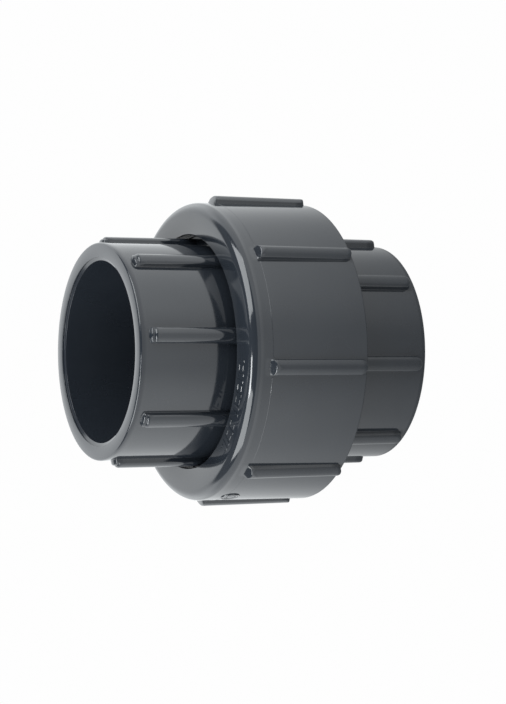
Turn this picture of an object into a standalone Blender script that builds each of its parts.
"""Pipe union for 63 mm solvent-weld pipe, closed hand-tight.

Four pieces: a threaded socket with its O-ring, a flanged socket, and the union nut.
Metres. +X runs along the pipe from the flanged end to the threaded end, +Z is up, and the
origin is the middle of the whole union on the pipe's axis.
"""

from math import cos, pi, radians, sin

import bmesh
import bpy
from mathutils import Matrix

MM = 0.001

# Driving dimensions
PIPE_D = 63.2 * MM                 # socket bore for 63 mm pipe
SOCKET_DEPTH = 38.0 * MM           # how far the pipe goes in
UNION_LENGTH = 108.8 * MM          # face to face, closed
WATERWAY_R = 29.4 * MM             # bore between the two pipe ends
PITCH = 5.0 * MM                   # union thread, right-handed
GAP = 0.3 * MM                     # between pieces that touch

# Sockets
MOUTH_R = 32.75 * MM                # shallow counterbore at each mouth
MOUTH_STEP = 0.5 * MM
LEAD_IN = 0.35 * MM                # cone from the counterbore down to the socket
SOCKET_TAPER = 0.2 * MM            # loss of radius from mouth to pipe stop
EDGE = 0.3 * MM                    # small broken edges
FLANGED_R = 37.75 * MM
THREADED_R = 38.2 * MM

# Flange, O-ring and sealing faces
SEAL_X = -8.2 * MM                 # sealing face of the threaded socket
FLANGE_R = 44.1 * MM
FLANGE_BACK_X = -15.3 * MM
O_RING_R = 36.6 * MM
O_RING_SECTION_R = 2.2 * MM

# Union thread
THREAD_ROOT_R = 44.2 * MM          # core of the male thread
THREAD_CREST_R = 46.2 * MM
THREAD_PLAY = 0.4 * MM             # radial, between male and female
RIDGE_MID_WIDTH = 2.1 * MM         # axial width of either ridge at half height
FLANK_SLOPE = 0.27                 # axial run of a flank for each unit of height
RIDGE_ROOT = 0.6 * MM              # how deep a ridge is let into its wall
MALE_THREAD_X = (-4.6 * MM, 17.4 * MM)      # centre of the ridge at its two ends
FEMALE_THREAD_X = (-2.1 * MM, 17.4 * MM)
THREAD_CHAMFER = 1.0 * MM
RELIEF_R = 43.6 * MM               # plain neck behind the male thread
RELIEF_X = 20.0 * MM
SHOULDER_X = 25.5 * MM             # where the neck steps down to the socket

# Union nut
NUT_X = (-20.85 * MM, 23.25 * MM)
NUT_FRONT_R = 52.45 * MM
NUT_REAR_R = 52.65 * MM           # draft towards the rear
NUT_ROUND = 3.8 * MM
NUT_HOLE_R = 41.1 * MM
NUT_LIP_X = FLANGE_BACK_X - GAP    # inner face of the lip
NUT_MOUTH_CHAMFER = 1.4 * MM

# Grip ribs, eight on each piece. Clocking is the angle of one rib from -Y towards +Z.
RIB_COUNT = 8
RIB_WIDTH = 5.2 * MM
RIB_BEVEL = 1.1 * MM
RIB_ROOT = 1.5 * MM                # how deep a rib is let into its wall
FLANGED_RIB_R = 40.45 * MM
FLANGED_RIB_X = (-50.6 * MM, -14.0 * MM)
FLANGED_CLOCKING = 8.3
THREADED_RIB_R = 41.0 * MM
THREADED_RIB_X = (24.5 * MM, 51.8 * MM)
THREADED_CLOCKING = -6.3
NUT_RIB_R = 55.1 * MM
NUT_RIB_X = (-12.7 * MM, 22.4 * MM)
NUT_CLOCKING = -5.7

# Facets
STEPS = 48                         # round the axis
ROUND_STEPS = 4                    # round a quarter fillet
O_RING_STEPS = 12                  # round the seal's section

SOCKET_R = PIPE_D / 2
END_X = UNION_LENGTH / 2
STOP_X = END_X - SOCKET_DEPTH
NUT_BORE_R = THREAD_CREST_R + THREAD_PLAY
NUT_THREAD_R = THREAD_ROOT_R + THREAD_PLAY


def clear_scene():
    for item in list(bpy.data.objects):
        bpy.data.objects.remove(item, do_unlink=True)


def collection(name):
    group = bpy.data.collections.new(name)
    bpy.context.scene.collection.children.link(group)
    return group


def plastic(name, colour, roughness):
    material = bpy.data.materials.new(name)
    material.use_nodes = True
    shader = material.node_tree.nodes["Principled BSDF"]
    shader.inputs["Base Color"].default_value = (*colour, 1.0)
    shader.inputs["Roughness"].default_value = roughness
    shader.inputs["Metallic"].default_value = 0.0
    return material


def place(name, mesh, group, material=None):
    item = bpy.data.objects.new(name, mesh)
    group.objects.link(item)
    if material:
        mesh.materials.append(material)
    return item


def mesh_from(bm, name):
    bmesh.ops.recalc_face_normals(bm, faces=bm.faces)
    mesh = bpy.data.meshes.new(name)
    bm.to_mesh(mesh)
    bm.free()
    return mesh


def turned(name, outline, group, material):
    """Turn a closed outline of (x, radius) about the X axis.

    The outline runs along its outer side from +X to -X and comes back along the bore.
    """
    mesh = bpy.data.meshes.new(name)
    points = [(radius, 0.0, x) for x, radius in outline]
    edges = [(i, (i + 1) % len(points)) for i in range(len(points))]
    mesh.from_pydata(points, edges, [])
    item = place(name, mesh, group, material)
    screw = item.modifiers.new("turn", "SCREW")
    screw.steps = STEPS
    screw.render_steps = STEPS
    screw.use_merge_vertices = True
    screw.merge_threshold = 0.00001
    item.rotation_euler = (0.0, radians(90), 0.0)
    return item


def fillet(x, radius, size, start, sweep=90):
    """Points of an arc about (x, radius), angles in degrees from +X towards larger radius."""
    angles = [radians(start + sweep * i / ROUND_STEPS) for i in range(ROUND_STEPS + 1)]
    return [(x + size * cos(a), radius + size * sin(a)) for a in angles]


def ribs(name, span_x, crest_r, wall_r, clocking, cutters):
    """Eight rounded bars lying along X round the pipe, as one guide object."""
    bm = bmesh.new()
    low_r = wall_r - RIB_ROOT
    size = Matrix.Diagonal((span_x[1] - span_x[0], RIB_WIDTH, crest_r - low_r, 1.0))
    middle = Matrix.Translation(((span_x[0] + span_x[1]) / 2, 0.0, (crest_r + low_r) / 2))
    for i in range(RIB_COUNT):
        turn = Matrix.Rotation(radians(90 - clocking + 360 * i / RIB_COUNT), 4, "X")
        outward = turn.to_3x3().col[2]
        made = bmesh.ops.create_cube(bm, size=1.0, matrix=turn @ middle @ size)
        upper = [v for v in made["verts"] if v.co.dot(outward) > wall_r]
        edges = sorted({e for v in upper for e in v.link_edges}, key=lambda e: e.index)
        bmesh.ops.bevel(bm, geom=edges, offset=RIB_BEVEL, segments=2, affect="EDGES", profile=0.5)
    item = place(name, mesh_from(bm, name), cutters)
    item.hide_render = True
    item.display_type = "WIRE"
    return item


def thread_ridge(name, span_x, wall_r, crest_r, start_angle, cutters):
    """One helical ridge of trapezoid section between two positions along X."""
    inward = -1 if crest_r < wall_r else 1
    mid_r = (wall_r + crest_r) / 2
    root_r = wall_r - inward * RIDGE_ROOT
    half_root = RIDGE_MID_WIDTH / 2 + FLANK_SLOPE * abs(root_r - mid_r)
    half_crest = RIDGE_MID_WIDTH / 2 - FLANK_SLOPE * abs(crest_r - mid_r)
    section = [(root_r, -half_root), (crest_r, -half_crest), (crest_r, half_crest), (root_r, half_root)]
    steps = round((span_x[1] - span_x[0]) / PITCH * STEPS)
    bm = bmesh.new()
    corners = [bm.verts.new((span_x[0] + x, r * cos(start_angle), r * sin(start_angle)))
               for r, x in section]
    face = bm.faces.new(corners)
    bmesh.ops.spin(bm, geom=[face], axis=(1, 0, 0), cent=(0, 0, 0), steps=steps,
                   angle=2 * pi * steps / STEPS, dvec=(PITCH / STEPS, 0, 0))
    item = place(name, mesh_from(bm, name), cutters)
    item.hide_render = True
    item.display_type = "WIRE"
    return item


def union_with(item, addition):
    modifier = item.modifiers.new(addition.name, "BOOLEAN")
    modifier.operation = "UNION"
    modifier.solver = "EXACT"
    modifier.object = addition


def helix_angle(x):
    """Angle of the male ridge where its centre is at x, for a right-handed thread."""
    return 2 * pi * x / PITCH


def threaded_socket(parts, cutters, material):
    groove_half = O_RING_SECTION_R + GAP
    groove_x = SEAL_X + 2 * O_RING_SECTION_R + GAP
    outline = [
        (END_X - MOUTH_STEP, MOUTH_R), (END_X, MOUTH_R), (END_X, THREADED_R - EDGE),
        (END_X - EDGE, THREADED_R),
        (SHOULDER_X, THREADED_R), (SHOULDER_X, RELIEF_R), (RELIEF_X, RELIEF_R),
        (RELIEF_X - EDGE, THREAD_ROOT_R), (SEAL_X + THREAD_CHAMFER, THREAD_ROOT_R),
        (SEAL_X, THREAD_ROOT_R - THREAD_CHAMFER),
        (SEAL_X, O_RING_R + groove_half), (groove_x, O_RING_R + groove_half),
        (groove_x, O_RING_R - groove_half), (SEAL_X, O_RING_R - groove_half),
        (SEAL_X, WATERWAY_R + EDGE), (SEAL_X + EDGE, WATERWAY_R), (STOP_X, WATERWAY_R),
        (STOP_X, SOCKET_R - SOCKET_TAPER), (END_X - MOUTH_STEP - LEAD_IN, SOCKET_R),
    ]
    item = turned("threaded_socket", outline, parts, material)
    union_with(item, ribs("threaded_ribs", THREADED_RIB_X, THREADED_RIB_R, THREADED_R,
                          THREADED_CLOCKING, cutters))
    union_with(item, thread_ridge("male_ridge", MALE_THREAD_X, THREAD_ROOT_R, THREAD_CREST_R,
                                  helix_angle(MALE_THREAD_X[0]), cutters))


def flanged_socket(parts, cutters, material):
    face_x = SEAL_X - GAP
    outline = [
        (face_x, WATERWAY_R + EDGE), (face_x, FLANGE_R - EDGE), (face_x - EDGE, FLANGE_R),
        (FLANGE_BACK_X + EDGE, FLANGE_R), (FLANGE_BACK_X, FLANGE_R - EDGE),
        (FLANGE_BACK_X, FLANGED_R), (EDGE - END_X, FLANGED_R), (-END_X, FLANGED_R - EDGE),
        (-END_X, MOUTH_R), (MOUTH_STEP - END_X, MOUTH_R),
        (MOUTH_STEP + LEAD_IN - END_X, SOCKET_R),
        (-STOP_X, SOCKET_R - SOCKET_TAPER), (-STOP_X, WATERWAY_R), (face_x - EDGE, WATERWAY_R),
    ]
    item = turned("flanged_socket", outline, parts, material)
    union_with(item, ribs("flanged_ribs", FLANGED_RIB_X, FLANGED_RIB_R, FLANGED_R,
                          FLANGED_CLOCKING, cutters))


def union_nut(parts, cutters, material):
    front, rear = NUT_X
    mouth_r = NUT_BORE_R + NUT_MOUTH_CHAMFER
    outline = [(rear, mouth_r), (rear, NUT_REAR_R - EDGE), (rear - EDGE, NUT_REAR_R)]
    outline += fillet(front + NUT_ROUND, NUT_FRONT_R - NUT_ROUND, NUT_ROUND, 90)
    outline += [
        (front, NUT_HOLE_R + EDGE), (front + EDGE, NUT_HOLE_R), (NUT_LIP_X, NUT_HOLE_R),
        (NUT_LIP_X, NUT_BORE_R), (rear - NUT_MOUTH_CHAMFER, NUT_BORE_R),
    ]
    item = turned("union_nut", outline, parts, material)
    union_with(item, ribs("nut_ribs", NUT_RIB_X, NUT_RIB_R, NUT_REAR_R, NUT_CLOCKING, cutters))
    union_with(item, thread_ridge("female_ridge", FEMALE_THREAD_X, NUT_BORE_R, NUT_THREAD_R,
                                  helix_angle(FEMALE_THREAD_X[0] - PITCH / 2), cutters))


def o_ring(parts, material):
    bpy.ops.mesh.primitive_torus_add(
        location=(SEAL_X + O_RING_SECTION_R, 0, 0), rotation=(0, radians(90), 0),
        major_radius=O_RING_R, minor_radius=O_RING_SECTION_R,
        major_segments=STEPS, minor_segments=O_RING_STEPS)
    item = bpy.context.object
    item.name = "o_ring"
    for group in item.users_collection:
        group.objects.unlink(item)
    parts.objects.link(item)
    item.data.materials.append(material)


clear_scene()
parts = collection("pipe_union")
cutters = collection("shapes_joined_on")
pvc = plastic("grey_pvc", (0.055, 0.062, 0.070), 0.32)
rubber = plastic("black_rubber", (0.012, 0.012, 0.013), 0.65)
threaded_socket(parts, cutters, pvc)
flanged_socket(parts, cutters, pvc)
union_nut(parts, cutters, pvc)
o_ring(parts, rubber)
